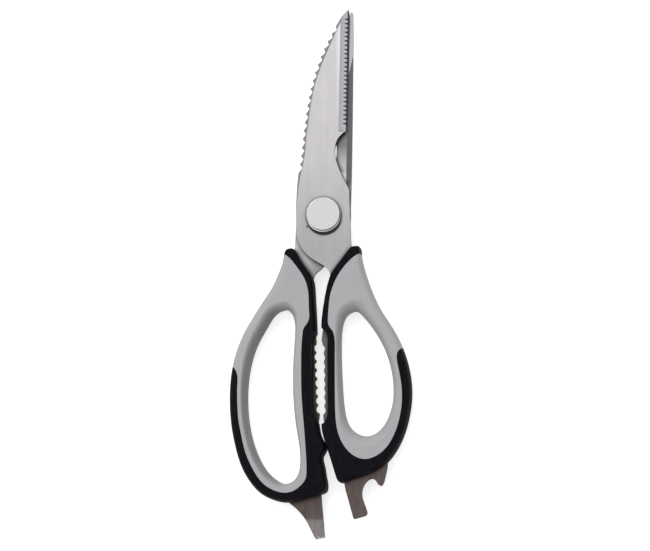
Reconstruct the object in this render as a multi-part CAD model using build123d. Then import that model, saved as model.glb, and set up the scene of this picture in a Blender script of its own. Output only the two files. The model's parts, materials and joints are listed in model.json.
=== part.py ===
from build123d import *
import os

# Kitchen shears lying flat, front side up. Lengths are in millimetres.
# +Y runs towards the blade tips and +Z out of the front face.
# Every outline is laid out from the pivot. The whole is then moved, so that the origin
# is the middle of the footprint, on the surface that the shears lie on.

# Reaches from the pivot
blade_reach = 91.1
blade_half = 12.0
collar_drop = 15.2
left_reach = 40.7
right_reach = 37.8
left_span = 109.2
right_span = 100.9
opener_length = 16.4
lifter_length = 15.8
lifter_facet = 8.6
lifter_facet_depth = 1.2

# Plates and handles, through their thickness
plate_thick = 2.5
plate_gap = 0.1
handle_thick = 14.0
edge_soft = 3.4
hole_flare = 2.5
overrun = 1.0

# Blade grinding
bevel_width = 3.8
edge_thick = 0.45
keen_width = 0.85
keen_thick = 0.15
scaler_bevel_width = 2.1
scaler_bevel_depth = 1.5
scaler_start = 10.2
scaler_end = 1.6
scaler_pitch = 3.76
scaler_depth = 1.3
groove_pitch = 1.94
groove_radius = 0.6
groove_reach = 2.1
groove_start = 2.0
groove_end = 2.4
hollow_depth = 0.25
hollow_width = 10.0
hollow_land = 2.2
pivot_land = 20.8

# Nutcracker jaws
jaw_pitch = 3.8
jaw_radius = 1.75
left_jaw_depth = 0.85
right_jaw_depth = 0.45

# Holes in the tangs, which the handle moulding fills and locks into
lock_hole = 3.2

# Pivot hardware
shank_radius = 3.0
running_fit = 0.05
neck_side = 6.6
neck_fit = 0.05
head_radius = 7.2
head_height = 2.4
head_soft = 0.5
washer_radius = 7.65
washer_thick = 0.4
spring_washer_radius = 5.6
spring_washer_thick = 0.4
nut_radius = 5.4
nut_height = 2.6
nut_cap = 0.9
nut_chamfer = 0.4
slot_width = 1.4
slot_depth = 0.6

# Outline shares. Across is a share of the reach named beside each use, along is a share
# of the span. The third value of a handle outline is how soft its edge is there. On the
# front blade's back edge it is how wide the ground bevel is, as a share of its full width.
front_spine_shares = [
    (0.860, 0.998, 0.30), (0.665, 0.966, 0.45), (0.411, 0.914, 0.72), (0.116, 0.843, 0.98),
    (-0.141, 0.767, 1.00), (-0.339, 0.692, 0.91), (-0.497, 0.613, 0.83), (-0.614, 0.535, 0.86),
    (-0.705, 0.454, 0.89), (-0.782, 0.371, 0.86), (-0.843, 0.287, 0.89), (-0.925, 0.207, 0.63),
]
front_shoulder_shares = [
    (-0.925, 0.207, 0.63), (-0.948, 0.179, 0.51), (-0.975, 0.133, 0.37), (-0.997, 0.074, 0.23),
    (-1.006, 0.000, 0.03),
]
# One valley between two scaler teeth: down the edge as a share of the pitch, outwards as
# a share of the depth
scaler_valley_shares = [
    (-0.42, 0.15), (-0.34, -0.08), (-0.20, -0.52), (-0.07, -0.91), (0.03, -1.00),
    (0.16, -0.83), (0.33, -0.54), (0.47, -0.27), (0.55, 0.00), (0.57, 0.15),
]
front_heel_shares = [
    (-1.006, 0.000), (-1.003, -0.387), (-0.981, -0.590), (-0.901, -0.805),
    (-0.748, -1.015), (-0.544, -1.188), (-0.289, -1.333), (-0.027, -1.452),
    (0.126, -1.552), (0.228, -1.703),
]
front_side_shares = [
    (0.984, -0.733), (0.963, -0.300), (0.949, 0.135),
]
front_notch_shares = [
    (0.931, 0.095), (0.884, 0.131), (0.771, 0.157), (0.618, 0.201),
    (0.451, 0.262), (0.403, 0.309), (0.436, 0.340), (0.502, 0.363),
    (0.608, 0.382), (0.736, 0.397), (0.861, 0.411),
]
front_edge_top_share = (0.942, 0.975)
front_tip_shares = [(0.930, 0.992), (0.897, 1.000)]

rear_tip_shares = [(0.978, 0.994), (1.074, 0.986)]
rear_spine_shares = [
    (1.074, 0.986), (1.048, 0.663), (1.011, 0.320), (0.979, 0.126), (0.953, 0.029),
]
rear_heel_shares = [
    (0.946, -0.191), (0.858, -0.480), (0.661, -0.737), (0.420, -0.954), (0.216, -1.147),
    (0.071, -1.342), (-0.090, -1.519), (-0.272, -1.632), (-0.384, -1.775),
]
rear_side_shares = [(-1.052, -0.636), (-1.031, -0.288), (-1.009, 0.059)]
rear_notch_shares = [
    (-0.930, 0.064), (-0.722, 0.111), (-0.360, 0.152), (0.024, 0.190),
    (0.285, 0.227), (0.415, 0.267), (0.455, 0.303), (0.447, 0.334),
    (0.395, 0.361), (0.303, 0.383), (0.156, 0.400), (0.010, 0.415),
]

right_tang_high_shares = [
    (0.085, -0.137), (0.066, -0.181), (0.034, -0.249), (0.013, -0.300), (-0.008, -0.350),
    (-0.023, -0.394),
]
right_tang_low_shares = [
    (-0.005, -0.714), (0.003, -0.739), (0.026, -0.773), (0.058, -0.820), (0.097, -0.868),
    (0.148, -0.921), (0.196, -0.970), (0.236, -1.002),
]
right_tang_back_shares = [
    (0.723, -0.910), (0.692, -0.901), (0.639, -0.906), (0.548, -0.919), (0.446, -0.919),
    (0.332, -0.900), (0.236, -0.864), (0.162, -0.811), (0.123, -0.751), (0.110, -0.649),
    (0.111, -0.413), (0.115, -0.340), (0.136, -0.267), (0.180, -0.202), (0.238, -0.138),
    (0.295, -0.077), (0.320, -0.030), (0.320, -0.006),
]
left_tang_high_shares = [
    (-0.124, -0.166), (-0.115, -0.222), (-0.106, -0.278), (-0.096, -0.333), (-0.086, -0.365),
]
left_tang_low_shares = [
    (-0.051, -0.654), (-0.060, -0.679), (-0.070, -0.710), (-0.066, -0.757),
    (-0.058, -0.814), (-0.046, -0.873), (-0.037, -0.932), (-0.032, -0.981),
]
left_tang_back_shares = [
    (-0.386, -0.989), (-0.356, -0.975), (-0.266, -0.957), (-0.197, -0.929),
    (-0.163, -0.888), (-0.162, -0.837), (-0.178, -0.774), (-0.197, -0.695),
    (-0.213, -0.616), (-0.217, -0.517), (-0.209, -0.377), (-0.206, -0.278),
    (-0.222, -0.217), (-0.253, -0.157), (-0.291, -0.101), (-0.320, -0.044),
    (-0.322, -0.006),
]

# Bottle opener: the prong's side and end, its blunt tip, the notch, the hook
opener_prong_shares = [(0.239, -0.059), (0.275, -0.408), (0.309, -0.694), (0.337, -0.930)]
opener_end_shares = [(0.337, -0.930), (0.350, -0.956), (0.479, -0.870), (0.496, -0.806)]
opener_notch_shares = [
    (0.496, -0.806), (0.480, -0.665), (0.452, -0.498), (0.436, -0.340), (0.441, -0.186),
    (0.471, -0.033), (0.512, 0.057), (0.555, 0.088), (0.591, 0.045), (0.611, -0.028),
    (0.634, -0.083), (0.659, -0.093),
]
opener_hook_shares = [
    (0.659, -0.093), (0.677, -0.044), (0.699, 0.122), (0.718, 0.306), (0.727, 0.488),
]

# Lid lifter: inner side, blunt end, curved outer side
lifter_side_shares = [(-0.032, 0.126), (-0.019, -0.259), (-0.008, -0.602), (0.005, -0.950)]
lifter_outer_shares = [
    (-0.095, -1.000), (-0.150, -0.706), (-0.203, -0.451), (-0.275, -0.226), (-0.365, -0.029),
]

left_outline_shares = [
    (-0.392, -0.002, 0.25), (-0.412, -0.012, 0.3), (-0.432, -0.046, 0.55), (-0.472, -0.087, 0.8),
    (-0.533, -0.139, 1), (-0.630, -0.197, 1), (-0.737, -0.259, 1), (-0.834, -0.320, 1),
    (-0.914, -0.387, 1), (-0.969, -0.460, 1), (-0.996, -0.539, 1), (-0.999, -0.618, 1),
    (-0.980, -0.701, 1), (-0.933, -0.788, 1), (-0.862, -0.867, 1), (-0.772, -0.923, 1),
    (-0.663, -0.965, 1), (-0.533, -0.990, 0.9), (-0.394, -1.000, 0.75), (-0.248, -0.992, 0.6),
    (-0.117, -0.979, 0.5), (-0.013, -0.967, 0.3), (0.019, -0.959, 0.22), (0.035, -0.942, 0.25),
    (0.023, -0.901, 0.35), (-0.002, -0.850, 0.35), (-0.012, -0.821, 0.3), (0.011, -0.804, 0.2),
    (0.024, -0.789, 0.2), (0.000, -0.763, 0.25), (-0.028, -0.743, 0.25), (-0.056, -0.695, 0.3),
    (-0.072, -0.617, 0.35), (-0.075, -0.510, 0.35), (-0.076, -0.403, 0.35), (-0.079, -0.328, 0.3),
    (-0.084, -0.272, 0.35), (-0.092, -0.216, 0.35), (-0.100, -0.160, 0.35), (-0.119, -0.116, 0.35),
    (-0.174, -0.081, 0.35), (-0.247, -0.041, 0.35), (-0.289, -0.012, 0.28), (-0.316, 0.001, 0.22),
    (-0.354, 0.003, 0.22),
]
right_outline_shares = [
    (0.353, 0.008, 0.22), (0.324, 0.005, 0.22), (0.310, 0.001, 0.25), (0.244, -0.028, 0.35),
    (0.164, -0.068, 0.35), (0.099, -0.102, 0.35), (0.059, -0.140, 0.35), (0.026, -0.192, 0.35),
    (-0.001, -0.252, 0.35), (-0.020, -0.312, 0.35), (-0.023, -0.363, 0.3), (-0.020, -0.441, 0.35),
    (-0.017, -0.553, 0.35), (-0.019, -0.664, 0.35), (-0.021, -0.737, 0.3), (-0.016, -0.775, 0.25),
    (0.006, -0.812, 0.22), (0.036, -0.847, 0.22), (0.065, -0.881, 0.3), (0.106, -0.930, 0.35),
    (0.143, -0.975, 0.3), (0.182, -0.999, 0.22), (0.239, -1.000, 0.22), (0.314, -0.990, 0.35),
    (0.420, -0.978, 0.45), (0.533, -0.963, 0.55), (0.633, -0.943, 0.65), (0.719, -0.916, 0.8),
    (0.816, -0.870, 1), (0.906, -0.804, 1), (0.972, -0.718, 1), (1.000, -0.634, 1),
    (0.988, -0.553, 1), (0.948, -0.483, 1), (0.882, -0.413, 1), (0.776, -0.337, 1),
    (0.655, -0.266, 1), (0.554, -0.187, 1), (0.481, -0.109, 0.8), (0.440, -0.049, 0.5),
    (0.427, -0.009, 0.3), (0.418, 0.006, 0.22), (0.386, 0.009, 0.22),
]
left_hole_shares = [
    (-0.410, -0.239, 1.0), (-0.505, -0.253, 1.1), (-0.602, -0.303, 1.1), (-0.698, -0.367, 1.05),
    (-0.768, -0.439, 0.95), (-0.807, -0.519, 0.8), (-0.816, -0.599, 0.7), (-0.799, -0.682, 0.7),
    (-0.754, -0.759, 0.75), (-0.683, -0.828, 0.8), (-0.595, -0.880, 0.85), (-0.497, -0.913, 0.9),
    (-0.405, -0.927, 0.9), (-0.319, -0.915, 0.75), (-0.265, -0.884, 0.55), (-0.247, -0.838, 0.4),
    (-0.259, -0.778, 0.4), (-0.285, -0.719, 0.4), (-0.311, -0.644, 0.4), (-0.324, -0.565, 0.4),
    (-0.325, -0.478, 0.4), (-0.313, -0.390, 0.4), (-0.303, -0.318, 0.5), (-0.319, -0.274, 0.7),
    (-0.354, -0.250, 0.85),
]
right_hole_shares = [
    (0.347, -0.270, 1.4), (0.263, -0.289, 1.2), (0.217, -0.330, 0.9), (0.200, -0.395, 0.65),
    (0.202, -0.485, 0.6), (0.213, -0.584, 0.6), (0.230, -0.669, 0.65), (0.259, -0.727, 0.9),
    (0.311, -0.769, 1.2), (0.393, -0.794, 1.5), (0.492, -0.803, 1.7), (0.595, -0.791, 1.5),
    (0.682, -0.760, 1.2), (0.747, -0.713, 0.95), (0.786, -0.659, 0.8), (0.794, -0.599, 0.75),
    (0.771, -0.526, 0.75), (0.717, -0.455, 0.75), (0.634, -0.388, 0.85), (0.538, -0.332, 1.0),
    (0.446, -0.290, 1.25),
]

# Seams between the grey grips and the black frames, then out past the handle's side
left_seam_shares = [
    (-0.385, -0.028), (-0.331, -0.047), (-0.274, -0.074), (-0.225, -0.100),
    (-0.187, -0.126), (-0.160, -0.157), (-0.147, -0.195), (-0.143, -0.243),
    (-0.145, -0.285), (-0.168, -0.303), (-0.197, -0.318), (-0.211, -0.340),
    (-0.222, -0.393), (-0.226, -0.492), (-0.222, -0.571), (-0.210, -0.642),
    (-0.196, -0.701), (-0.183, -0.764), (-0.171, -0.830), (-0.167, -0.877),
    (-0.181, -0.914), (-0.226, -0.936), (-0.297, -0.956), (-0.399, -0.965),
    (-0.507, -0.956), (-0.606, -0.935), (-0.692, -0.899), (-0.762, -0.853),
    (-0.822, -0.798), (-0.861, -0.737), (-0.891, -0.677), (-0.903, -0.616),
    (-0.905, -0.552), (-0.903, -0.511), (-0.921, -0.484), (-0.963, -0.468),
]
left_outside_shares = [(-1.100, -0.440), (-1.100, 0.000), (-0.520, 0.000)]
right_seam_shares = [
    (0.463, -0.023), (0.387, -0.034), (0.321, -0.053), (0.251, -0.081),
    (0.196, -0.109), (0.148, -0.141), (0.110, -0.177), (0.084, -0.215),
    (0.071, -0.260), (0.063, -0.309), (0.077, -0.339), (0.113, -0.357),
    (0.137, -0.385), (0.143, -0.449), (0.142, -0.568), (0.144, -0.670),
    (0.155, -0.747), (0.184, -0.800), (0.241, -0.845), (0.322, -0.880),
    (0.415, -0.900), (0.503, -0.904), (0.598, -0.893), (0.694, -0.868),
    (0.778, -0.827), (0.846, -0.770), (0.888, -0.707), (0.904, -0.644),
    (0.892, -0.576), (0.864, -0.519), (0.847, -0.479), (0.856, -0.452),
    (0.888, -0.437), (0.936, -0.427),
]
right_outside_shares = [(1.100, -0.360), (1.100, 0.000), (0.560, 0.000)]

# The toothed line of each nutcracker jaw, top and bottom
left_jaw_line_shares = [(-0.091, -0.388), (-0.067, -0.636)]
right_jaw_line_shares = [(0.002, -0.428), (0.011, -0.697)]

# Recesses in the frames that lay the jaws bare
left_jaw_shares = [
    (-0.029, -0.317), (-0.072, -0.326), (-0.106, -0.343), (-0.120, -0.380),
    (-0.123, -0.516), (-0.119, -0.609), (-0.104, -0.650), (-0.070, -0.686),
    (-0.022, -0.702),
]
right_jaw_shares = [
    (-0.027, -0.340), (0.021, -0.350), (0.052, -0.371), (0.060, -0.430),
    (0.060, -0.560), (0.060, -0.662), (0.059, -0.709), (0.039, -0.738),
    (-0.021, -0.757),
]
jaw_mouth_share = 0.06

left_lock_shares = [(-0.240, -0.075), (-0.110, -0.900)]
right_lock_shares = [(0.240, -0.075), (0.200, -0.905)]

# The edge profile of the handles: height as a share of half the thickness,
# and how much of the softness the edge has drawn in there
profile_shares = [
    (-1.00, 1.00), (-0.985, 0.74), (-0.93, 0.46), (-0.80, 0.20), (-0.55, 0.05), (0.00, 0.00),
    (0.55, 0.05), (0.80, 0.20), (0.93, 0.46), (0.985, 0.74), (1.00, 1.00),
]
flare_shares = [
    (-1.05, 1.70), (-1.00, 1.22), (-0.96, 0.98), (-0.86, 0.66), (-0.66, 0.31), (-0.36, 0.07),
    (0.00, 0.00),
    (0.36, 0.07), (0.66, 0.31), (0.86, 0.66), (0.96, 0.98), (1.00, 1.22), (1.05, 1.70),
]

middle = handle_thick / 2
front_low = middle + plate_gap / 2
rear_low = middle - plate_gap / 2 - plate_thick
rear_high = rear_low + plate_thick
nut_low = rear_low - spring_washer_thick - nut_height


def spots(shares, across, along, base=0):
    """Points from shares of a size across and a size along, measured from a base line."""
    return [Vector(share[0] * across, base + share[1] * along) for share in shares]


def plate(lines, low, thick):
    """A flat plate with its lower face at the given height, from a closed loop of lines."""
    face = Face(Wire([edge for line in lines for edge in line.edges()]))
    return extrude(Pos(0, 0, low) * face, amount=thick, dir=(0, 0, 1))


def post(centre, radius, low, high):
    """An upright cylinder between two heights."""
    shape = Cylinder(radius, high - low, align=(Align.CENTER, Align.CENTER, Align.MIN))
    return Pos(centre.X, centre.Y, low) * shape


def drawn_in(points, amounts):
    """Each point of a closed outline moved inward by its own amount."""
    count = len(points)
    area = sum(points[i - 1].X * points[i].Y - points[i].X * points[i - 1].Y for i in range(count))
    turn = 1 if area > 0 else -1
    moved = []
    for i in range(count):
        along = points[(i + 1) % count] - points[i - 1]
        inward = Vector(-along.Y, along.X).normalized() * turn
        moved.append(points[i] + inward * amounts[i])
    return moved


def lofted_ring(points, softness, profile, depth):
    """A solid whose outline draws in, or flares out, from its middle height to its faces."""
    count = len(points)
    steps = [0.0]
    for i in range(count):
        steps.append(steps[-1] + (points[(i + 1) % count] - points[i]).length)
    sections = []
    for height_share, draw_share in profile:
        amounts = [soft * draw_share * depth for soft in softness]
        lift = Vector(0, 0, middle + height_share * middle)
        ring = [point + lift for point in drawn_in(points, amounts)]
        sections.append(Wire([Edge.make_spline(ring, periodic=True, parameters=steps)]))
    return Solid.make_loft(sections)


def square_hole(low, high):
    """The square hole that the bolt's neck is keyed in."""
    side = neck_side + 2 * neck_fit
    return Pos(0, 0, (low + high) / 2) * Box(side, side, high - low + 2 * overrun)


def edge_wedge(top, bottom, outward, width, depth, face_height, up):
    """A three-sided bar that grinds a bevel along a straight edge between two points."""
    along = (bottom - top).normalized()
    run = along * overrun
    side = Plane(origin=top - run, x_dir=outward, z_dir=along)
    lift = face_height
    rise = up * overrun
    out_share = overrun / width
    corners = [
        (-width, lift),
        (overrun, lift - up * depth * (1 + out_share)),
        (overrun, lift + rise),
        (-width, lift + rise),
    ]
    flip = side.y_dir.Z
    face = side * make_face(Polyline(*[(x, y * flip) for x, y in corners], close=True))
    return extrude(face, amount=(bottom - top).length + 2 * overrun, dir=along)


def leaning_cut(points, widths, slope, depth, face_height):
    """What grinding a bevel takes off along a curved back edge, a wall that leans over the plate."""
    count = len(points)
    normals = []
    for i in range(count):
        along = points[min(i + 1, count - 1)] - points[max(i - 1, 0)]
        normals.append(Vector(along.Y, -along.X).normalized())
    sections = []
    for height in (face_height - depth - overrun, face_height + overrun):
        rise = (height - face_height) / slope
        ridge = [
            point - normal * (width + rise) + Vector(0, 0, height)
            for point, normal, width in zip(points, normals, widths)
        ]
        far_left = min(point.X for point in points) - blade_half
        far_top = points[0].Y + blade_half
        clear = Polyline(
            ridge[-1], (far_left, ridge[-1].Y, height), (far_left, far_top, height),
            (ridge[0].X, far_top, height), ridge[0],
        )
        sections.append(Wire([Spline(*ridge).edge(), *clear.edges()]))
    return Solid.make_loft(sections, ruled=True)


def scaler_valley(place, heading, low, high):
    """The rounded notch between two teeth of the fish scaler."""
    out = Vector(heading.Y, -heading.X)
    line = [
        place + heading * (share[0] * scaler_pitch) + out * (share[1] * scaler_depth)
        for share in scaler_valley_shares
    ]
    clear = out * overrun
    shut = Polyline(line[-1], line[-1] + clear, line[0] + clear, line[0])
    return plate([Spline(*line), shut], low - overrun, high - low + 2 * overrun)


def jaw_cuts(high, low, side, depth, low_height, high_height):
    """The round valleys of a nutcracker jaw along the line between two points."""
    length = (low - high).length
    along = (low - high).normalized()
    out = Vector(along.Y, -along.X).normalized()
    out = out if out.X * side > 0 else out * -1
    count = int(length / jaw_pitch)
    spare = length - count * jaw_pitch
    cuts = []
    for i in range(count + 1):
        run = spare / 2 + i * jaw_pitch
        centre = high + along * run + out * (jaw_radius - depth)
        cuts.append(post(centre, jaw_radius, low_height - overrun, high_height + overrun))
    return cuts


def hollow_cut(spine_top, spine_bottom, inner_height, up, side):
    """The long shallow hollow of a blade's inner face, ending at the round land."""
    radius = hollow_width ** 2 / (8 * hollow_depth)
    along = (spine_top - spine_bottom).normalized()
    across = Vector(along.Y, -along.X) * side
    line = spine_bottom + across * -(hollow_land + hollow_width / 2)
    centre = line + Vector(0, 0, inner_height + up * (radius - hollow_depth))
    bar = Plane(origin=centre, z_dir=along) * Cylinder(
        radius, blade_reach + overrun, align=(Align.CENTER, Align.CENTER, Align.MIN)
    )
    land = post(Vector(0, 0), pivot_land, inner_height - radius, inner_height + radius)
    return bar - land


def locks(shares, reach, span, low):
    """Round holes through a tang."""
    return [
        post(spot, lock_hole / 2, low - overrun, low + plate_thick + overrun)
        for spot in spots(shares, reach, span, -collar_drop)
    ]


def make_front_blade():
    """Front blade, right tang, jaw and bottle opener, in one plate."""
    spine_spots = spots(front_spine_shares, blade_half, blade_reach)
    spine = Spline(*spine_spots)
    shoulder = Spline(*spots(front_shoulder_shares, blade_half, blade_reach))
    heel_spots = spots(front_heel_shares, blade_half, collar_drop)
    heel = Spline(*heel_spots)
    high_spots = spots(right_tang_high_shares, right_reach, right_span, -collar_drop)
    tang_high = Spline(heel_spots[-1], *high_spots)
    low_spots = spots(right_tang_low_shares, right_reach, right_span, -collar_drop)
    jaw = spots(right_jaw_line_shares, right_reach, right_span, -collar_drop)
    jaw_line = Polyline(high_spots[-1], *jaw, low_spots[0])
    opener_base = -collar_drop - right_span
    prong_spots = spots(opener_prong_shares, right_reach, opener_length, opener_base)
    tang_low = Spline(*low_spots, *prong_spots)
    end = Polyline(*spots(opener_end_shares, right_reach, opener_length, opener_base))
    notch = Spline(*spots(opener_notch_shares, right_reach, opener_length, opener_base))
    hook_spots = spots(opener_hook_shares, right_reach, opener_length, opener_base)
    hook = Spline(*hook_spots)
    back_spots = spots(right_tang_back_shares, right_reach, right_span, -collar_drop)
    back = Spline(hook_spots[-1], *back_spots)
    bone_spots = spots(front_notch_shares, blade_half, blade_reach)
    side_spots = spots(front_side_shares, blade_half, collar_drop)
    side = Spline(back_spots[-1], *side_spots, bone_spots[0])
    bone = Spline(*bone_spots)
    edge_top = Vector(front_edge_top_share[0] * blade_half, front_edge_top_share[1] * blade_reach)
    edge = Line(bone_spots[-1], edge_top)
    tip = Spline(edge_top, *spots(front_tip_shares, blade_half, blade_reach), spine_spots[0])
    loop = [spine, shoulder, heel, tang_high, jaw_line, tang_low, end, notch, hook, back, side]
    blade = plate([*loop, bone, edge, tip], front_low, plate_thick)
    top = front_low + plate_thick
    back_shares = front_spine_shares + front_shoulder_shares[1:]
    back_line = spots(back_shares, blade_half, blade_reach)
    widths = [share[2] * scaler_bevel_width for share in back_shares]
    lean = scaler_bevel_depth / scaler_bevel_width
    bevel = leaning_cut(back_line, widths, lean, scaler_bevel_depth, top)
    down = (bone_spots[-1] - edge_top).normalized()
    outward = Vector(-down.Y, down.X)
    edge_far = edge_top - down * (blade_reach - edge_top.Y)
    depth = plate_thick - edge_thick
    slope = depth / bevel_width
    wedge = edge_wedge(edge_far, bone_spots[-1], outward, bevel_width, depth, top, 1)
    keen_high = top - slope * (bevel_width - keen_width)
    keen_drop = keen_high - front_low - keen_thick
    keen = edge_wedge(edge_far, bone_spots[-1], outward, keen_width, keen_drop, keen_high, 1)
    cuts = [bevel, wedge, keen, hollow_cut(edge_top, bone_spots[-1], front_low, -1, -1)]
    teeth = int((spine.length - scaler_start - scaler_end) / scaler_pitch) + 1
    for i in range(teeth):
        place = scaler_start + i * scaler_pitch
        point = spine.position_at(place, position_mode=PositionMode.LENGTH)
        heading = spine.tangent_at(place, position_mode=PositionMode.LENGTH)
        cuts.append(scaler_valley(point, heading, front_low, top))
    run = (bone_spots[-1] - edge_top).length
    grooves = int((run - groove_start - groove_end) / groove_pitch) + 1
    groove_foot = keen_thick / 2
    groove_climb = plate_thick - slope * (bevel_width - groove_reach) - groove_foot
    climb = (outward * -groove_reach + Vector(0, 0, groove_climb)).normalized()
    lift = climb.cross(down) * groove_radius
    for i in range(grooves):
        spot = edge_top + down * (groove_start + i * groove_pitch)
        start = spot + Vector(0, 0, front_low + groove_foot) - climb * overrun + lift
        bar = Cylinder(
            groove_radius, groove_reach + 2 * overrun + groove_climb,
            align=(Align.CENTER, Align.CENTER, Align.MIN),
        )
        cuts.append(Plane(origin=start, z_dir=climb) * bar)
    cuts += jaw_cuts(*jaw, -1, right_jaw_depth, front_low, top)
    cuts += locks(right_lock_shares, right_reach, right_span, front_low)
    cuts.append(square_hole(front_low, top))
    return blade - cuts


def make_rear_blade():
    """Rear blade, left tang, jaw and lid lifter, in one plate."""
    tip_spots = spots(rear_tip_shares, blade_half, blade_reach)
    tip = Line(*tip_spots)
    spine_spots = spots(rear_spine_shares, blade_half, blade_reach)
    spine = Spline(*spine_spots)
    heel_spots = spots(rear_heel_shares, blade_half, collar_drop)
    heel = Spline(spine_spots[-1], *heel_spots)
    high_spots = spots(left_tang_high_shares, left_reach, left_span, -collar_drop)
    tang_high = Spline(heel_spots[-1], *high_spots)
    low_spots = spots(left_tang_low_shares, left_reach, left_span, -collar_drop)
    jaw = spots(left_jaw_line_shares, left_reach, left_span, -collar_drop)
    jaw_line = Polyline(high_spots[-1], *jaw, low_spots[0])
    lifter_base = -collar_drop - left_span
    side_spots = spots(lifter_side_shares, left_reach, lifter_length, lifter_base)
    tang_low = Spline(*low_spots, *side_spots[1:])
    outer_spots = spots(lifter_outer_shares, left_reach, lifter_length, lifter_base)
    end = Line(side_spots[-1], outer_spots[0])
    outer = Spline(*outer_spots)
    back_spots = spots(left_tang_back_shares, left_reach, left_span, -collar_drop)
    back = Spline(outer_spots[-1], *back_spots)
    bone_spots = spots(rear_notch_shares, blade_half, blade_reach)
    flank = Spline(
        back_spots[-1], *spots(rear_side_shares, blade_half, collar_drop), bone_spots[0]
    )
    bone = Spline(*bone_spots)
    edge = Line(bone_spots[-1], tip_spots[0])
    loop = [tip, spine, heel, tang_high, jaw_line, tang_low, end, outer, back, flank]
    blade = plate([*loop, bone, edge], rear_low, plate_thick)
    up = (tip_spots[0] - bone_spots[-1]).normalized()
    outward = Vector(-up.Y, up.X)
    depth = plate_thick - edge_thick
    wedge = edge_wedge(bone_spots[-1], tip_spots[0], outward, bevel_width, depth, rear_low, -1)
    cuts = [wedge, hollow_cut(spine_spots[0], spine_spots[-1], rear_high, 1, 1)]
    across = (side_spots[-1] - outer_spots[0]).normalized()
    facet_from = outer_spots[0] - across * lifter_facet
    facet_to = side_spots[-1] + across * lifter_facet
    pry_way = Vector(across.Y, -across.X)
    cuts.append(
        edge_wedge(facet_from, facet_to, pry_way, lifter_facet, lifter_facet_depth, rear_high, 1)
    )
    cuts += jaw_cuts(*jaw, 1, left_jaw_depth, rear_low, rear_high)
    cuts += locks(left_lock_shares, left_reach, left_span, rear_low)
    cuts.append(post(Vector(0, 0), shank_radius + running_fit, 0, handle_thick))
    return blade - cuts


def make_handle(outline, hole, jaw, reach, span, tang, jaw_side):
    """A whole handle: soft edged slab, finger loop, jaw recess and the tang's slot."""
    softness = [share[2] for share in outline]
    slab = lofted_ring(spots(outline, reach, span, -collar_drop), softness, profile_shares, edge_soft)
    flare = [-share[2] for share in hole]
    ring = lofted_ring(spots(hole, reach, span, -collar_drop), flare, flare_shares, hole_flare)
    jaw_spots = spots(jaw, reach, span, -collar_drop)
    mouth = Vector(jaw_side * jaw_mouth_share * reach, 0)
    back = Spline(*jaw_spots)
    shut = Polyline(jaw_spots[-1], jaw_spots[-1] + mouth, jaw_spots[0] + mouth, jaw_spots[0])
    recess = plate([back, shut], -overrun, handle_thick + 2 * overrun)
    return slab - ring - recess - tang


def make_grip_region(seam, outside, reach, span):
    """The upright region of a handle that is moulded in grey."""
    seam_spots = spots(seam, reach, span, -collar_drop)
    outside_spots = spots(outside, reach, span, -collar_drop)
    inner = Spline(*seam_spots)
    outer = Polyline(seam_spots[-1], *outside_spots, seam_spots[0])
    return plate([inner, outer], -overrun, handle_thick + 2 * overrun)


def make_pivot_bolt():
    """Disc head, square neck in the front blade, round shank through the rear one."""
    head_low = front_low + plate_thick + washer_thick
    head = post(Vector(0, 0), head_radius, head_low, head_low + head_height)
    rim = head.edges().filter_by(GeomType.CIRCLE).sort_by(Axis.Z)[-1]
    head = fillet(rim, head_soft)
    neck = Pos(0, 0, (front_low + head_low) / 2) * Box(neck_side, neck_side, head_low - front_low)
    shank = post(Vector(0, 0), shank_radius, nut_low + nut_cap, head_low)
    return head + neck + shank


def make_washer(radius, bore, low, thick):
    """A flat round washer."""
    return post(Vector(0, 0), radius, low, low + thick) - post(Vector(0, 0), bore, 0, handle_thick)


def make_pivot_washer():
    """The washer under the disc, with a square hole for the neck."""
    low = front_low + plate_thick
    high = low + washer_thick
    return post(Vector(0, 0), washer_radius, low, high) - square_hole(low, high)


def make_pivot_nut():
    """A low cap nut with a coin slot, behind the rear blade."""
    nut = post(Vector(0, 0), nut_radius, nut_low, nut_low + nut_height)
    rim = nut.edges().filter_by(GeomType.CIRCLE).sort_by(Axis.Z)[0]
    nut = chamfer(rim, nut_chamfer)
    bore = post(Vector(0, 0), shank_radius, nut_low + nut_cap, nut_low + nut_height + overrun)
    slot = Pos(0, 0, nut_low) * Box(2 * nut_radius + overrun, slot_width, 2 * slot_depth)
    return nut - bore - slot


front_blade = make_front_blade()
rear_blade = make_rear_blade()
left_handle = make_handle(
    left_outline_shares, left_hole_shares, left_jaw_shares, left_reach, left_span, rear_blade, 1
)
right_handle = make_handle(
    right_outline_shares, right_hole_shares, right_jaw_shares, right_reach, right_span,
    front_blade, -1,
)
left_region = make_grip_region(left_seam_shares, left_outside_shares, left_reach, left_span)
right_region = make_grip_region(right_seam_shares, right_outside_shares, right_reach, right_span)

nodes = {
    "front_blade": front_blade,
    "rear_blade": rear_blade,
    "left_handle_frame": left_handle - left_region,
    "left_handle_grip": left_handle & left_region,
    "right_handle_frame": right_handle - right_region,
    "right_handle_grip": right_handle & right_region,
    "pivot_bolt": make_pivot_bolt(),
    "pivot_washer": make_pivot_washer(),
    "spring_washer": make_washer(
        spring_washer_radius, shank_radius + running_fit, nut_low + nut_height, spring_washer_thick
    ),
    "pivot_nut": make_pivot_nut(),
}

pivot_x = (left_reach - right_reach) / 2
pivot_y = (collar_drop + left_span + lifter_length - blade_reach) / 2
os.makedirs("parts", exist_ok=True)
for name, shape in nodes.items():
    export_step(Pos(pivot_x, pivot_y, 0) * shape, f"parts/{name}.step")
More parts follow.
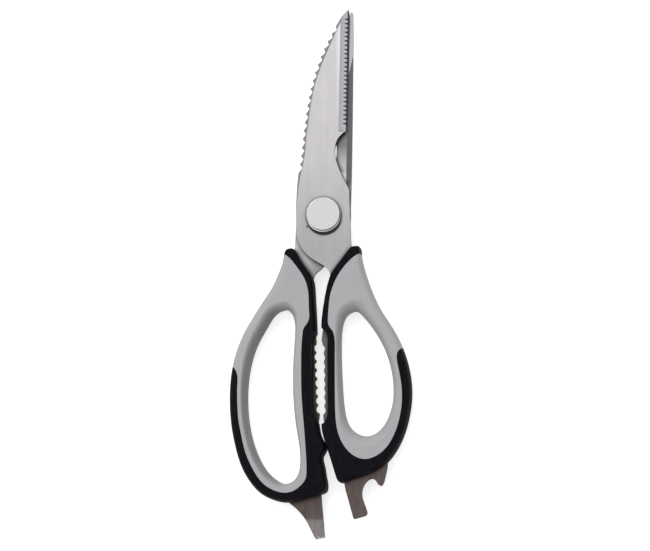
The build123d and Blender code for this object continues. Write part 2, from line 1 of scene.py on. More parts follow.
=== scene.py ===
# %% [markdown]
# Kitchen shears, laid flat and seen from above
#
# The shears are two steel plates that cross at a pivot, each with a two-tone moulded
# handle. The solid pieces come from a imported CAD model, which gives every piece at its
# real size and place, so nothing has to be fitted here. This lesson gives each piece
# the finish of the real one, sets up the camera and the studio, and changes no shape.
# Lengths are in metres in the studio, and in millimetres from the pivot in the finishes.

# %% Load the frame
import json
import math
import bmesh
import bpy
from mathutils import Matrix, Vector


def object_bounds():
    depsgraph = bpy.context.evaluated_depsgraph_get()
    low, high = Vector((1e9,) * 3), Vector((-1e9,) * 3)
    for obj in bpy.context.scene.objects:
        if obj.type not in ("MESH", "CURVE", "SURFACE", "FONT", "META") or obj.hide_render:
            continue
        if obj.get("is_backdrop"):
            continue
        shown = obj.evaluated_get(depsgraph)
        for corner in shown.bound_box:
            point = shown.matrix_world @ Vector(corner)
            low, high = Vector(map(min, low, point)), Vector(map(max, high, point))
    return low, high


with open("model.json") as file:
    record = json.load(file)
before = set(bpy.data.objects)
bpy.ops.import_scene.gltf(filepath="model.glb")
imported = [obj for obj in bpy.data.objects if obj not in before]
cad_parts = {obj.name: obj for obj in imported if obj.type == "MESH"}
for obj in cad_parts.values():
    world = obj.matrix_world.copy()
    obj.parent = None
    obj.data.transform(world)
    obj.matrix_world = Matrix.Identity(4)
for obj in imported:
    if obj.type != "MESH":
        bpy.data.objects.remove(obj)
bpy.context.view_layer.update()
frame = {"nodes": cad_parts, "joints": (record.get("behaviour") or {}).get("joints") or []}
nodes = frame["nodes"]
scene = bpy.context.scene
scene.view_settings.view_transform = "Standard"
pivot = Vector(frame["joints"][0]["pos_m"])
print("pieces:", sorted(nodes))
print("pivot at", [round(value * 1000, 2) for value in pivot], "mm")

# %% [markdown]
# The camera
#
# The photograph looks almost straight down, from a little to the right of the shears and
# a little below them, because the right and lower walls of the plates just show. A long
# lens keeps the thin plates and the thick handles nearly in one scale. The tips point up
# in the frame, so the camera is built from its three axes: back is the way from the
# object to the camera, side is the frame's right and up is the frame's top.

# %% The camera
PHOTO_WIDTH = 650
PHOTO_HEIGHT = 551
MM_PER_PIXEL = 0.435
PIVOT_PIXEL = (324.2, 215.5)
CAMERA_DISTANCE = 1.10
CLIP_START = 0.01
CLIP_END = 10.0
tilt_right = math.radians(6.5)
tilt_down = math.radians(8.0)

metres_per_pixel = MM_PER_PIXEL / 1000
back = Vector((math.tan(tilt_right), -math.tan(tilt_down), 1.0)).normalized()
side = Vector((0.0, 1.0, 0.0)).cross(back).normalized()
up = back.cross(side)
aim = pivot + side * (PHOTO_WIDTH / 2 - PIVOT_PIXEL[0]) * metres_per_pixel
aim += up * (PIVOT_PIXEL[1] - PHOTO_HEIGHT / 2) * metres_per_pixel
camera_data = bpy.data.cameras.new("camera")
camera = bpy.data.objects.new("camera", camera_data)
scene.collection.objects.link(camera)
camera.location = aim + back * CAMERA_DISTANCE
turn = camera.matrix_world.to_3x3()
turn.col[0], turn.col[1], turn.col[2] = side, up, back
camera.rotation_euler = turn.to_euler()
frame_width = PHOTO_WIDTH * metres_per_pixel
camera_data.lens = camera_data.sensor_width * CAMERA_DISTANCE / frame_width
camera_data.clip_start = CLIP_START
camera_data.clip_end = CLIP_END
scene.camera = camera
print("camera at", [round(v, 3) for v in camera.location], "lens", round(camera_data.lens, 1))

# %% [markdown]
# Small helpers for node trees
#
# A finish is a tree of shader nodes. Each of these helpers adds one node, so that the
# recipes further down read like sentences. An input may be a plain value, which is set
# on the node, or another node's output, which is joined to it. A ramp is given by two
# numbers, where it starts and where it ends, and by two more if it doesn't go from 0 to
# 1. A share is a number from 0 to 1 that says how much of a finish a point gets.

# %% One node
def put(tree, kind, inputs=None, **settings):
    """Adds a node, with its settings and its inputs."""
    node = tree.nodes.new("ShaderNode" + kind)
    for key, value in settings.items():
        setattr(node, key, value)
    for key, value in (inputs or {}).items():
        if isinstance(value, bpy.types.NodeSocket):
            tree.links.new(value, node.inputs[key])
        else:
            node.inputs[key].default_value = value
    return node


def calc(tree, operation, *values):
    """One sum on numbers."""
    return put(tree, "Math", dict(enumerate(values)), operation=operation).outputs[0]


def overlap(tree, *shares):
    """The shares multiplied, so that it is 1 only where all of them are."""
    product = shares[0]
    for share in shares[1:]:
        product = calc(tree, "MULTIPLY", product, share)
    return product


def ramp(tree, value, start, end, low=0.0, high=1.0):
    """Goes from low to high while the value goes from start to end, and stays there."""
    return put(tree, "MapRange", {0: value, 1: start, 2: end, 3: low, 4: high}).outputs[0]


def mix_colour(tree, share, under, over):
    """The under colour where the share is 0 and the over colour where it is 1."""
    return put(tree, "Mix", {0: share, 6: under, 7: over}, data_type="RGBA").outputs[2]


def add_bump(tree, shader, height, strength, distance):
    """A bump in the surface, which follows the height."""
    bump = put(tree, "Bump", {"Strength": strength, "Distance": distance, "Height": height})
    tree.links.new(bump.outputs[0], shader.inputs["Normal"])


print("helpers:", [helper.__name__ for helper in (put, calc, overlap, ramp, mix_colour)])

# %% [markdown]
# Where a point lies, and which way it faces
#
# Every pattern reads Object coordinates, so it is fixed to its piece and turns with it
# when the shears open. They are turned into millimetres from the pivot, because that is
# how a maker would measure the blades. The normal in the piece's own frame tells a flat
# face from a ground bevel or a sawn wall, so one finish can treat them differently.

# %% Place and direction
PIVOT_MM = [value * 1000 for value in pivot]


def place_in_mm(tree):
    """The point in millimetres from the pivot."""
    coordinates = put(tree, "TexCoord").outputs["Object"]
    scaled = put(tree, "VectorMath", {0: coordinates, 1: (1000, 1000, 1000)}, operation="MULTIPLY")
    moved = put(tree, "VectorMath", {0: scaled.outputs[0], 1: PIVOT_MM}, operation="SUBTRACT")
    return moved.outputs[0]


def parts_of(tree, vector):
    """The three parts of a vector."""
    return put(tree, "SeparateXYZ", {0: vector}).outputs


def direction(tree):
    """The normal's parts: to the right, towards the tips, and up."""
    return parts_of(tree, put(tree, "TexCoord").outputs["Normal"])


def flat_distance(tree, place, centre=(0.0, 0.0, 0.0)):
    """How far the point is from an upright line through the centre."""
    flat_place = put(tree, "VectorMath", {0: place, 1: (1, 1, 0)}, operation="MULTIPLY").outputs[0]
    reach = put(tree, "VectorMath", {0: flat_place, 1: centre}, operation="DISTANCE")
    return reach.outputs["Value"]


print("patterns are measured from", [round(value, 2) for value in PIVOT_MM], "mm")

# %% [markdown]
# Grain
#
# Most of the wear and the brushing is noise that is stretched. A size for each way says
# how big its patches are: a brushed line is a tenth of a millimetre wide and centimetres
# long, and a cloud on moulded plastic is as wide as it is long.

# %% Grain
def grain(tree, place, size_mm, detail=2.0):
    """Noise from 0 to 1 whose patches have about the given size each way."""
    shrink = [1 / size for size in size_mm]
    scaled = put(tree, "VectorMath", {0: place, 1: shrink}, operation="MULTIPLY").outputs[0]
    return put(tree, "TexNoise", {"Vector": scaled, "Scale": 1.0, "Detail": detail}).outputs[0]


def dress(material, *names):
    """Gives the named pieces the material."""
    for name in names:
        mesh = nodes[name].data
        mesh.materials.clear()
        mesh.materials.append(material)
        print(name, "has", len(mesh.polygons), "faces in", material.name)


print("pieces to dress:", len(nodes))

# %% [markdown]
# The studio floor
#
# A cut-out product picture has a white ground. The floor is a pale diffuse sheet made
# as one grid face. Camera rays and mirror rays also see it glow a little, which lifts it
# to white without putting more light on the shears, and it still takes their shadow.

# %% The floor
FLOOR_HALF = 2.0
FLOOR_DROP = 0.0002

floor_mesh = bpy.data.meshes.new("floor")
grid = bmesh.new()
bmesh.ops.create_grid(grid, x_segments=1, y_segments=1, size=FLOOR_HALF)
bmesh.ops.translate(grid, verts=grid.verts, vec=(0, 0, -FLOOR_DROP))
grid.to_mesh(floor_mesh)
grid.free()
floor = bpy.data.objects.new("floor", floor_mesh)
scene.collection.objects.link(floor)
floor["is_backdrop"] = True
print("floor half width", FLOOR_HALF, "m, with", len(floor_mesh.polygons), "face")

# %% [markdown]
# The paper of the floor
#
# The sheet is matt paper, with fibres that change its grey by a hair. The glow is a
# second shader that is added to it. It is as strong as the sort of ray asks for, and
# other rays don't see it, so it sheds no light.

# %% The paper of the floor
FLOOR_GREY = 0.80
FIBRE_CONTRAST = 0.01
FIBRE_METRES = (0.004, 0.004, 0.004)
FLOOR_GLOW = 0.68
MIRROR_GLOW = 0.20

paper = bpy.data.materials.new("floor_paper")
paper.use_nodes = True
tree = paper.node_tree
tree.nodes.clear()
rays = put(tree, "LightPath").outputs
seen_glow = calc(tree, "MULTIPLY", rays["Is Camera Ray"], FLOOR_GLOW)
glow_share = calc(tree, "MULTIPLY_ADD", rays["Is Glossy Ray"], MIRROR_GLOW, seen_glow)
fibres = grain(tree, put(tree, "TexCoord").outputs["Object"], FIBRE_METRES, 3.0)
greys = (FLOOR_GREY - FIBRE_CONTRAST, FLOOR_GREY + FIBRE_CONTRAST)
sheet = put(tree, "BsdfDiffuse", {"Color": ramp(tree, fibres, 0.3, 0.7, *greys)})
glow = put(tree, "Emission", {"Strength": glow_share})
glowing_sheet = put(tree, "AddShader", {0: sheet.outputs[0], 1: glow.outputs[0]})
put(tree, "OutputMaterial", {"Surface": glowing_sheet.outputs[0]})
floor_mesh.materials.append(paper)
print("paper grey", greys, "glow", FLOOR_GLOW)

# %% [markdown]
# The world
#
# The white walls of the studio light everything evenly and weakly. Camera rays see them
# at full white, which is the picture's ground. Mirror rays do too, so a metal shows
# about the colour that it is written with.

# %% The world
WORLD_FILL = 0.42
WHITE = (1.0, 1.0, 1.0, 1.0)

world = bpy.data.worlds.new("studio")
scene.world = world
world.use_nodes = True
tree = world.node_tree
rays = put(tree, "LightPath").outputs
mirror = calc(tree, "MAXIMUM", rays["Is Glossy Ray"], rays["Is Transmission Ray"])
shown = calc(tree, "MAXIMUM", mirror, rays["Is Camera Ray"])
background = tree.nodes["Background"]
background.inputs["Color"].default_value = WHITE
tree.links.new(ramp(tree, shown, 0, 1, WORLD_FILL, 1.0), background.inputs["Strength"])
print("world fill", WORLD_FILL)

# %% [markdown]
# The panels
#
# One very large soft panel stands at the upper left, so that shadows stay faint, as in
# the photograph. It is kept out of reflections, because it would burn out the steel.
# Two smaller ones, from the upper left and the top, draw a highlight along the rims and
# give the handles a little shape.

# %% The panels
def add_panel(name, place, width, power):
    """A square soft panel that faces the shears."""
    light_data = bpy.data.lights.new(name, "AREA")
    light_data.shape = "RECTANGLE"
    light_data.size = width
    light_data.size_y = width
    light_data.energy = power
    light = bpy.data.objects.new(name, light_data)
    scene.collection.objects.link(light)
    light.location = place
    light.rotation_euler = (-Vector(place)).to_track_quat("-Z", "Y").to_euler()
    light.visible_camera = False
    return light


wide_panel = add_panel("wide_panel", (-0.45, 0.60, 1.50), 2.0, 18.5)
wide_panel.visible_glossy = False
add_panel("small_panel", (-0.70, 0.75, 0.90), 0.45, 1.2)
add_panel("rim_panel", (0.40, 1.00, 0.95), 0.50, 1.2)

# %% [markdown]
# The steel of the blades
#
# Both plates are stamped from stainless strip. Above the handles their faces are brushed
# lengthwise, which leaves fine lines, long faint streaks and a slight cloudiness. The
# metal is a Principled shader at Metallic 1. The fine lines go into the roughness and the
# bump, and the streaks and clouds go into the colour.

# %% Brushed steel
STEEL_WARMTH = (1.0, 0.965, 0.972, 1.0)
STREAK_MM = (1.1, 45.0, 4.0)
STREAK_CONTRAST = (0.965, 1.035)
CLOUD_MM = (6.0, 9.0, 6.0)
CLOUD_CONTRAST = (0.955, 1.045)


def new_material(name, metallic):
    """A bare material, with its tree and its shader."""
    material = bpy.data.materials.new(name)
    material.use_nodes = True
    shader = material.node_tree.nodes["Principled BSDF"]
    shader.inputs["Metallic"].default_value = metallic
    return material, material.node_tree, shader


def brushed_tone(tree, place, tone):
    """The tone with long streaks and a faint cloudiness, as a warm grey colour."""
    streaks = ramp(tree, grain(tree, place, STREAK_MM, 3.0), 0.25, 0.75, *STREAK_CONTRAST)
    clouds = ramp(tree, grain(tree, place, CLOUD_MM, 3.0), 0.25, 0.75, *CLOUD_CONTRAST)
    varied = overlap(tree, tone, streaks, clouds)
    grey = put(tree, "CombineColor", {0: varied, 1: varied, 2: varied}).outputs[0]
    inputs = {0: 1.0, 6: grey, 7: STEEL_WARMTH}
    return put(tree, "Mix", inputs, data_type="RGBA", blend_type="MULTIPLY").outputs[2]


print("steel warmth", STEEL_WARMTH[:3])

# %% [markdown]
# Dark corners
#
# Where two pieces meet, the steel gets painted shade. An ambient occlusion node measures
# how closed in a point is. It looks a short way only, so it paints shade on the steel
# beside the front plate's edge and round the pivot, and it follows the blades when they
# open.

# %% Dark corners
# The dark colour of the painted shade, also used for the pit.
PIT_AND_SHADE_DARK = (0.020, 0.018, 0.018, 1.0)
OPEN_TO_CLOSED = (0.96, 0.50)
CORNER_SAMPLES = 16


def painted_corner_shade(tree, colour, reach_mm, strength):
    """The colour with painted shade, darker near whatever stands over it."""
    distance = {"Distance": reach_mm / 1000}
    closed = put(tree, "AmbientOcclusion", distance, samples=CORNER_SAMPLES).outputs["AO"]
    share = ramp(tree, closed, *OPEN_TO_CLOSED, 0.0, strength)
    return mix_colour(tree, share, colour, PIT_AND_SHADE_DARK)


print("corner colour", PIT_AND_SHADE_DARK[:3])

# %% [markdown]
# Walls, bevels and the raw tang
#
# A sawn or ground surface is recognised by how far its normal leans. The flat faces look
# straight up or down. The cutting bevel leans by about 28 degrees and is ground across;
# it is painted a little darker and cooler, as painted shade. The walls of the plate are
# painted nearly black, as painted shade.
# Below the handles' collars the plates aren't brushed at all: the tang is raw and
# brownish where it shows as the nutcracker jaws and the two tool ends.

# %% Zones that both plates share
WALL_SHADE = (0.032, 0.029, 0.029, 1.0)
BEVEL_SHADE_INNER = (0.40, 0.39, 0.415, 1.0)
BEVEL_SHADE_OUTER = (0.49, 0.475, 0.52, 1.0)
RAW_STEEL = (0.100, 0.078, 0.072, 1.0)
RAW_STEEL_PALE = (0.155, 0.125, 0.117, 1.0)
RAW_BLOTCH_MM = (2.2, 7.0, 2.2)
RAW_START = (-31.5, -32.5)
JAW_START = (-99.0, -97.0)
FACE_TO_BEVEL = (0.97, 0.93)
BEVEL_TO_WALL = (0.5, 0.3)


def shared_zones(tree, place, parts, facing, brushed, edge_share, jaw_steel):
    """The brushed colour with the raw tang laid over it, and painted shade on the cutting bevel
    and the walls.
    """
    flat = calc(tree, "ABSOLUTE", facing["Z"])
    blotches = ramp(tree, grain(tree, place, RAW_BLOTCH_MM, 4.0), 0.30, 0.80)
    raw = mix_colour(tree, blotches, RAW_STEEL, RAW_STEEL_PALE)
    raw = mix_colour(tree, ramp(tree, parts["Y"], *JAW_START), raw, jaw_steel)
    colour = mix_colour(tree, ramp(tree, parts["Y"], *RAW_START), brushed, raw)
    # Painted shade on the bevel and on the walls, chosen by how far the normal leans.
    bevel = mix_colour(tree, edge_share, BEVEL_SHADE_INNER, BEVEL_SHADE_OUTER)
    colour = mix_colour(tree, ramp(tree, flat, *FACE_TO_BEVEL), colour, bevel)
    return mix_colour(tree, ramp(tree, flat, *BEVEL_TO_WALL), colour, WALL_SHADE)


print("the raw steel starts", -RAW_START[0], "mm below the pivot")

# %% [markdown]
# How the steel feels
#
# A brushed face spreads light along the brushing lines, which are a tenth of a
# millimetre wide. They make the roughness and a bump of a few hundredths of a
# millimetre. The raw tang has small pits in place of lines, and is rougher.

# %% Steel roughness and bump
LINE_MM = (0.13, 9.0, 0.5)
PIT_MM = (0.35, 0.45, 0.35)
STEEL_ROUGHNESS = (0.28, 0.38)
RAW_ROUGHER = 0.16
STEEL_BUMP = 0.00002


def steel_touch(tree, shader, place, parts):
    """Fine lengthwise lines in the roughness and the bump, rougher on the raw tang."""
    lines = grain(tree, place, LINE_MM, 2.0)
    pits = grain(tree, place, PIT_MM, 2.0)
    rough = ramp(tree, lines, 0.3, 0.7, *STEEL_ROUGHNESS)
    raw_share = ramp(tree, parts["Y"], *RAW_START)
    rough = calc(tree, "ADD", rough, calc(tree, "MULTIPLY", raw_share, RAW_ROUGHER))
    tree.links.new(rough, shader.inputs["Roughness"])
    height = put(tree, "Mix", {0: raw_share, 2: lines, 3: pits}, data_type="FLOAT").outputs[0]
    add_bump(tree, shader, height, 0.35, STEEL_BUMP)


print("steel roughness", STEEL_ROUGHNESS)

# %% [markdown]
# The front blade's face
#
# The face is painted paler towards the tip, as painted light. A painted highlight runs down
# it just inside the cutting bevel. The cutting edge is straight but leans a little, so
# distances from it are measured from a line, not from the middle.

# %% The front blade's face
PAINTED_LIGHT_LOWER = (-12, 26, 0.43, 0.59)
PAINTED_LIGHT_UPPER = (26, 84, 0.0, 0.06)
EDGE_FOOT = 9.624
EDGE_LEAN = 0.0189
HIGHLIGHT_STEEL = (0.82, 0.81, 0.81, 1.0)
HIGHLIGHT_BAND = (6.0, 3.9)
HIGHLIGHT_REACH = (38, 78)

front_steel, tree, shader = new_material("front_blade_steel", 1.0)
place = place_in_mm(tree)
parts = parts_of(tree, place)
facing = direction(tree)
# Painted light: the face gets paler towards the tip.
lower, upper = ramp(tree, parts["Y"], *PAINTED_LIGHT_LOWER), ramp(tree, parts["Y"], *PAINTED_LIGHT_UPPER)
brushed = brushed_tone(tree, place, calc(tree, "ADD", lower, upper))
edge_line = calc(tree, "MULTIPLY_ADD", parts["Y"], EDGE_LEAN, EDGE_FOOT)
from_edge = calc(tree, "SUBTRACT", edge_line, parts["X"])
# A painted highlight just inside the cutting bevel.
near_bevel = ramp(tree, from_edge, *HIGHLIGHT_BAND)
painted_highlight = overlap(tree, near_bevel, ramp(tree, parts["Y"], *HIGHLIGHT_REACH))
brushed = mix_colour(tree, painted_highlight, brushed, HIGHLIGHT_STEEL)
print("front blade, face:", len(tree.nodes), "nodes")

# %% [markdown]
# The front blade's edges
#
# The straight cutting edge has a coarse row of grooves, and below them a thin strip that
# is ground steeper, the edge itself. Both are painted dark, as painted shade, because they
# face sideways. The scaler's bevel on the left leans the other way and is painted darker,
# as painted shade. A groove is told from its bevel by a normal that turns along the blade.

# %% The front blade's edges
BEVEL_TURN = (3.6, 1.8)
JAW_GREY = (0.170, 0.168, 0.170, 1.0)
KEEN_EDGE_SHADE = (0.085, 0.078, 0.090, 1.0)
GROOVE_SHADE = (0.045, 0.040, 0.048, 1.0)
SCALER_SHADE = (0.27, 0.265, 0.262, 1.0)
STEEPER = (0.865, 0.845)
NOT_A_WALL = (0.3, 0.4)
TO_RIGHT = (0.02, 0.08)
TO_LEFT = (-0.02, -0.08)
GROOVE_LEAN = (0.955, 0.93)
GROOVE_TURN = (0.04, 0.10)

edge_share = ramp(tree, from_edge, *BEVEL_TURN)
colour = shared_zones(tree, place, parts, facing, brushed, edge_share, JAW_GREY)
flat = calc(tree, "ABSOLUTE", facing["Z"])
leaning = overlap(tree, ramp(tree, flat, *STEEPER), ramp(tree, flat, *NOT_A_WALL))
to_right = ramp(tree, facing["X"], *TO_RIGHT)
# Painted shade on the steep strip at the edge, on the grooves and on the scaler's bevel.
colour = mix_colour(tree, overlap(tree, leaning, to_right), colour, KEEN_EDGE_SHADE)
along = ramp(tree, calc(tree, "ABSOLUTE", facing["Y"]), *GROOVE_TURN)
groove = overlap(tree, ramp(tree, flat, *GROOVE_LEAN), along, to_right)
colour = mix_colour(tree, groove, colour, GROOVE_SHADE)
to_left = ramp(tree, facing["X"], *TO_LEFT)
colour = mix_colour(tree, overlap(tree, leaning, to_left), colour, SCALER_SHADE)
print("front blade, edges:", len(tree.nodes), "nodes")

# %% [markdown]
# A painted shadow and a pit
#
# A painted shadow lies round the washer, more on the lower right, as a dark ring whose
# centre is a little off the pivot. It is on the outer face only. A small dark pit is near
# the disc, where the steel was marked. With painted shade in the corners, the finish is
# complete.

# %% A painted shadow and a pit
PIT_PLACE = (-7.2, -5.3, 0.0)
PIT_EDGE = (0.55, 0.25)
DISC_SHADOW_CENTRE = (0.22, -1.40, 0.0)
DISC_SHADOW_EDGE = (8.15, 7.45)
DISC_SHADOW_STRENGTH = 0.96
OUTWARD = (0.0, 0.2)
FRONT_CORNER_MM = 2.0
CORNER_STRENGTH = 0.75

pit = ramp(tree, flat_distance(tree, place, PIT_PLACE), *PIT_EDGE)
colour = mix_colour(tree, pit, colour, PIT_AND_SHADE_DARK)
# Painted shadow of the disc: a dark ring on the outer face, more on the lower right.
disc_shadow = ramp(tree, flat_distance(tree, place, DISC_SHADOW_CENTRE), *DISC_SHADOW_EDGE)
disc_shadow = overlap(tree, disc_shadow, ramp(tree, facing["Z"], *OUTWARD, 0.0, DISC_SHADOW_STRENGTH))
colour = mix_colour(tree, disc_shadow, colour, PIT_AND_SHADE_DARK)
colour = painted_corner_shade(tree, colour, FRONT_CORNER_MM, CORNER_STRENGTH)
tree.links.new(colour, shader.inputs["Base Color"])
steel_touch(tree, shader, place, parts)
dress(front_steel, "front_blade")

# %% [markdown]
# The rear blade's face
#
# It lies behind the front one, and shows as a narrow land beside the cutting edge,
# inside the bone notch, at the heel and as the lid lifter. The heel is painted darker
# towards the gap between the handles, as painted shade. The land beside the edge slants,
# so it is measured from a line again, and its lower part is painted dark, as painted shade.

# %% The rear blade's face
FACE_TONE = (-30, 84, 0.62, 0.50)
HEEL_ACROSS = (-12, -3)
HEEL_DOWN = (6, -4)
HEEL_SHADE = 0.52
LAND_FOOT = 9.38
LAND_LEAN = 0.0147
LAND_STEP = 0.1
LAND_SHADE_SLANT = -4.58
LAND_SHADE_END = (12.9, 12.1)
LAND_SHADE_START = (8, 14)

rear_steel, tree, shader = new_material("rear_blade_steel", 1.0)
place = place_in_mm(tree)
parts = parts_of(tree, place)
facing = direction(tree)
inner_face = ramp(tree, facing["Z"], *OUTWARD)
heel = ramp(tree, parts["X"], *HEEL_ACROSS)
heel = overlap(tree, heel, ramp(tree, parts["Y"], *HEEL_DOWN))
tone = ramp(tree, parts["Y"], *FACE_TONE)
# Painted shade on the heel, towards the gap between the handles.
tone = overlap(tree, tone, ramp(tree, heel, 0, 1, 1.0, HEEL_SHADE))
brushed = brushed_tone(tree, place, tone)
land_line = calc(tree, "MULTIPLY_ADD", parts["Y"], LAND_LEAN, LAND_FOOT)
land = calc(tree, "SUBTRACT", parts["X"], land_line)
# Painted shade on the lower part of the land beside the edge.
slant = calc(tree, "MULTIPLY_ADD", parts["X"], LAND_SHADE_SLANT, parts["Y"])
land_shade = overlap(tree, ramp(tree, land, -LAND_STEP, LAND_STEP), ramp(tree, slant, *LAND_SHADE_END))
land_shade = overlap(tree, land_shade, ramp(tree, parts["Y"], *LAND_SHADE_START), inner_face)
print("rear blade, face:", len(tree.nodes), "nodes")

# %% [markdown]
# The hollow and its lands
#
# The inner face is ground hollow, so that the blades touch at the edge only. The hollow
# starts at a round land about the pivot, which is left bright. Its steel is duller, and
# near the notch's upper end it gets painted shade. The rust specks are on the last
# centimetres before the tip.

# %% The hollow and its lands
HOLLOW_STEEL = (0.50, 0.485, 0.50, 1.0)
HOLLOW_SHADE = (0.22, 0.212, 0.22, 1.0)
LAND_BRIGHT = (0.80, 0.79, 0.79, 1.0)
LAND_SHADE_DARK = (0.140, 0.136, 0.142, 1.0)
HOLLOW_EDGE = (20.8, 21.1)
ROUND_LAND_EDGE = (20.8, 20.2)
ABOVE_PIVOT = (8, 12)
NOTCH_SHADE_START = (23, 31)
NOTCH_SHADE_END = (44, 36)
SPECK_MM = (0.7, 0.7, 0.7)
SPECK_SHARE = (0.70, 0.74)
SPECK_START = (60, 76)

radius = flat_distance(tree, place)
above = overlap(tree, ramp(tree, parts["Y"], *ABOVE_PIVOT), inner_face)
in_hollow = overlap(tree, ramp(tree, radius, *HOLLOW_EDGE), above)
in_hollow = overlap(tree, in_hollow, ramp(tree, land, LAND_STEP, -LAND_STEP))
# Painted shade near the notch's upper end.
notch_shade = ramp(tree, parts["Y"], *NOTCH_SHADE_START)
notch_shade = overlap(tree, notch_shade, ramp(tree, parts["Y"], *NOTCH_SHADE_END))
hollow = mix_colour(tree, notch_shade, HOLLOW_STEEL, HOLLOW_SHADE)
brushed = mix_colour(tree, in_hollow, brushed, hollow)
round_land = overlap(tree, ramp(tree, radius, *ROUND_LAND_EDGE), above)
brushed = mix_colour(tree, round_land, brushed, LAND_BRIGHT)
# Painted shade on the lower part of the land.
brushed = mix_colour(tree, land_shade, brushed, LAND_SHADE_DARK)
specks = ramp(tree, grain(tree, place, SPECK_MM, 1.0), *SPECK_SHARE)
specks = overlap(tree, specks, ramp(tree, parts["Y"], *SPECK_START))
brushed = mix_colour(tree, specks, brushed, RAW_STEEL)
print("rear blade, hollow:", len(tree.nodes), "nodes")

# %% [markdown]
# The lid lifter
#
# The lifter's end is ground thinner, so it is brighter than the raw steel above it, with
# streaks along the tool. Its last millimetre is worn bright in a ragged line, where it
# is pushed under lids.

# %% The lid lifter
REAR_EDGE_SHARE = 0.4
JAW_BROWN = (0.125, 0.103, 0.090, 1.0)
LIFTER_PALE = (0.268, 0.248, 0.240, 1.0)
WORN_END = (0.55, 0.53, 0.52, 1.0)
FACET_START = (-131.2, -132.4)
FACET_UPWARD = (0.5, 0.9)
GRIND_MM = (0.35, 9.0, 0.35)
GRIND_SHARE = (0.55, 1.0)
RAGGED_MM = (0.5, 0.9, 0.5)
WORN_START = (-138.7, -139.5)
REAR_CORNER_MM = 2.2

colour = shared_zones(tree, place, parts, facing, brushed, REAR_EDGE_SHARE, JAW_BROWN)
facet = ramp(tree, parts["Y"], *FACET_START)
facet = overlap(tree, facet, ramp(tree, facing["Z"], *FACET_UPWARD))
grind = ramp(tree, grain(tree, place, GRIND_MM, 3.0), 0.35, 0.65, *GRIND_SHARE)
colour = mix_colour(tree, overlap(tree, facet, grind), colour, LIFTER_PALE)
ragged = ramp(tree, grain(tree, place, RAGGED_MM, 2.0), 0.42, 0.58)
worn_end = overlap(tree, ramp(tree, parts["Y"], *WORN_START), ragged)
colour = mix_colour(tree, worn_end, colour, WORN_END)
colour = painted_corner_shade(tree, colour, REAR_CORNER_MM, CORNER_STRENGTH)
tree.links.new(colour, shader.inputs["Base Color"])
steel_touch(tree, shader, place, parts)
dress(rear_steel, "rear_blade")

# %% [markdown]
# The pivot hardware
#
# The disc head is turned on a lathe and tumbled, so its face is a pale satin with a
# faint cloudiness. On every piece the wall is painted darker than the rounded rim, as
# painted shade. The washer under the disc is painted bright on its lower side and darker
# elsewhere, as painted light and shade. The nut and the spring washer at the back are
# turned and keep their fine rings, which are noise on the distance from the pivot's axis.

# %% Pivot steel
LIT_WAY = (0.1, -0.995, 0.0)
LIT_START = (1.5, 4.5)
TURNED_CLOUD_MM = (1.1, 1.1, 1.1)
RING_MM = (0.12, 1.0, 1.0)
FACE_TO_RIM = (0.985, 0.95)
RIM_TO_WALL = (0.45, 0.2)
GREEN_PART = 0.985
BLUE_PART = 1.015


def turned_steel(name, face_tone, rim_tone, wall_shade_tone, rough, ring_strength, shaded_share=1.0):
    """Turned steel with its own tones for face, rounded rim and wall; the darker wall tone is
    painted shade, and the last share paints shade away from the lower side.
    """
    material, tree, shader = new_material(name, 1.0)
    place = place_in_mm(tree)
    flat = calc(tree, "ABSOLUTE", direction(tree)["Z"])
    clouds = grain(tree, place, TURNED_CLOUD_MM, 4.0)
    radius = put(tree, "CombineXYZ", {0: flat_distance(tree, place)}).outputs[0]
    rings = grain(tree, radius, RING_MM, 2.0)
    tone = ramp(tree, flat, *FACE_TO_RIM, face_tone, rim_tone)
    # The darker wall tone is painted shade.
    wall = ramp(tree, flat, *RIM_TO_WALL)
    tone = put(tree, "Mix", {0: wall, 2: tone, 3: wall_shade_tone}, data_type="FLOAT").outputs[0]
    # Painted light on the lower side and painted shade elsewhere, by the last share.
    lower_side = put(tree, "VectorMath", {0: place, 1: LIT_WAY}, operation="DOT_PRODUCT")
    lit_side = ramp(tree, lower_side.outputs["Value"], *LIT_START, shaded_share, 1.0)
    tone = overlap(tree, tone, ramp(tree, clouds, 0.3, 0.7, 0.955, 1.04), lit_side)
    green, blue = overlap(tree, tone, GREEN_PART), overlap(tree, tone, BLUE_PART)
    colour = put(tree, "CombineColor", {0: tone, 1: green, 2: blue}).outputs[0]
    tree.links.new(colour, shader.inputs["Base Color"])
    roughness = ramp(tree, clouds, 0.3, 0.7, rough - 0.04, rough + 0.05)
    tree.links.new(roughness, shader.inputs["Roughness"])
    add_bump(tree, shader, rings, ring_strength, STEEL_BUMP)
    return material


dress(turned_steel("disc_steel", 0.66, 0.70, 0.12, 0.34, 0.10), "pivot_bolt")
dress(turned_steel("washer_steel", 0.90, 0.90, 0.75, 0.20, 0.10, 0.30), "pivot_washer")
dress(turned_steel("spring_steel", 0.30, 0.35, 0.16, 0.30, 0.40), "spring_washer")
dress(turned_steel("nut_steel", 0.46, 0.62, 0.30, 0.30, 0.50), "pivot_nut")

# %% [markdown]
# The grey grips
#
# Each handle is moulded in two colours. The grip is a grey plastic with a satin skin,
# faint clouding from the mould and a few dark dust specks. The inner side of the long
# left ring, which faces right, is painted darker, as painted shade. The skin has a very
# fine grain, which is a small bump.

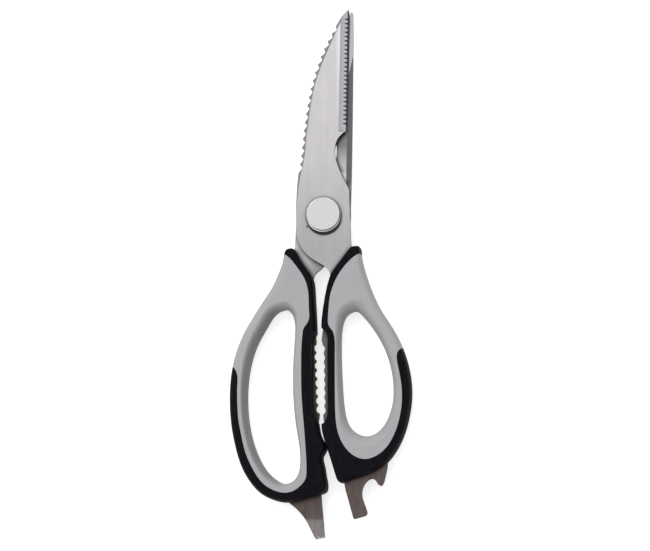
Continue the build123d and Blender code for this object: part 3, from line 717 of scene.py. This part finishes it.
# %% Grey grips
GRIP_GREY = (0.425, 0.422, 0.436, 1.0)
GRIP_PALE = (0.455, 0.452, 0.466, 1.0)
GRIP_CLOUD_MM = (9.0, 9.0, 9.0)
SPECK_DARK = (0.10, 0.10, 0.10, 1.0)
SPECK_STEP = 9.0
SPECK_EDGE = (0.045, 0.030)
SPECK_STRENGTH = 0.55
GRIP_SHADE = (0.300, 0.295, 0.300, 1.0)
GRIP_SHADE_FACING = (0.20, 0.65)
GRIP_SHADE_START = (-6, -14)
GRIP_SKIN_MM = (0.28, 0.28, 0.28)
PLASTIC_BUMP = 0.00004
GRIP_SHINE = 0.35

grey_plastic, tree, shader = new_material("grey_grip_plastic", 0.0)
place = place_in_mm(tree)
clouds = grain(tree, place, GRIP_CLOUD_MM, 4.0)
colour = mix_colour(tree, ramp(tree, clouds, 0.3, 0.7), GRIP_GREY, GRIP_PALE)
shrink = [1 / SPECK_STEP] * 3
spread = put(tree, "VectorMath", {0: place, 1: shrink}, operation="MULTIPLY").outputs[0]
dust = put(tree, "TexVoronoi", {"Vector": spread, "Scale": 1.0}).outputs["Distance"]
dot = overlap(tree, ramp(tree, dust, *SPECK_EDGE), SPECK_STRENGTH)
colour = mix_colour(tree, dot, colour, SPECK_DARK)
# Painted shade on the left ring's walls that face right.
right_facing_shade = ramp(tree, direction(tree)["X"], *GRIP_SHADE_FACING)
right_facing_shade = overlap(tree, right_facing_shade, ramp(tree, parts_of(tree, place)["X"], *GRIP_SHADE_START))
colour = mix_colour(tree, right_facing_shade, colour, GRIP_SHADE)
tree.links.new(colour, shader.inputs["Base Color"])
tree.links.new(ramp(tree, clouds, 0.3, 0.7, 0.48, 0.58), shader.inputs["Roughness"])
add_bump(tree, shader, grain(tree, place, GRIP_SKIN_MM, 2.0), 0.30, PLASTIC_BUMP)
shader.inputs["Specular IOR Level"].default_value = GRIP_SHINE
dress(grey_plastic, "left_handle_grip", "right_handle_grip")

# %% [markdown]
# The black frames
#
# The frame is a nearly black plastic with a finer skin, which scuffs a little paler.
# Its faces are worn slightly glossy by the hand. Its walls stay dull and are a little
# paler, so both the shine and the colour follow the normal.

# %% Black frames
FRAME_BLACK = (0.0036, 0.0036, 0.0058, 1.0)
FRAME_SCUFF = (0.0080, 0.0084, 0.0110, 1.0)
FRAME_WALL = (0.0105, 0.0105, 0.0135, 1.0)
SCUFF_MM = (1.6, 5.0, 1.6)
FRAME_SKIN_MM = (0.22, 0.22, 0.22)
PALE_WALL_FACING = (0.55, 0.20)
SHINE_FACING = (0.30, 0.62)
SHINE = (0.015, 0.06)

black_plastic, tree, shader = new_material("black_frame_plastic", 0.0)
place = place_in_mm(tree)
scuffs = grain(tree, place, SCUFF_MM, 5.0)
flat = calc(tree, "ABSOLUTE", direction(tree)["Z"])
colour = mix_colour(tree, ramp(tree, scuffs, 0.52, 0.75), FRAME_BLACK, FRAME_SCUFF)
colour = mix_colour(tree, ramp(tree, flat, *PALE_WALL_FACING), colour, FRAME_WALL)
tree.links.new(colour, shader.inputs["Base Color"])
tree.links.new(ramp(tree, scuffs, 0.3, 0.7, 0.36, 0.46), shader.inputs["Roughness"])
add_bump(tree, shader, grain(tree, place, FRAME_SKIN_MM, 2.0), 0.30, PLASTIC_BUMP)
tree.links.new(ramp(tree, flat, *SHINE_FACING, *SHINE), shader.inputs["Specular IOR Level"])
dress(black_plastic, "left_handle_frame", "right_handle_frame")

# %% [markdown]
# Measure and finish
#
# The size of the dressed model has to stay the size of the CAD model. Its overall size
# is printed.

# %% Measure and finish
visual_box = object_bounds()
size = visual_box[1] - visual_box[0]
print("overall", [round(value * 1000, 1) for value in size], "mm")
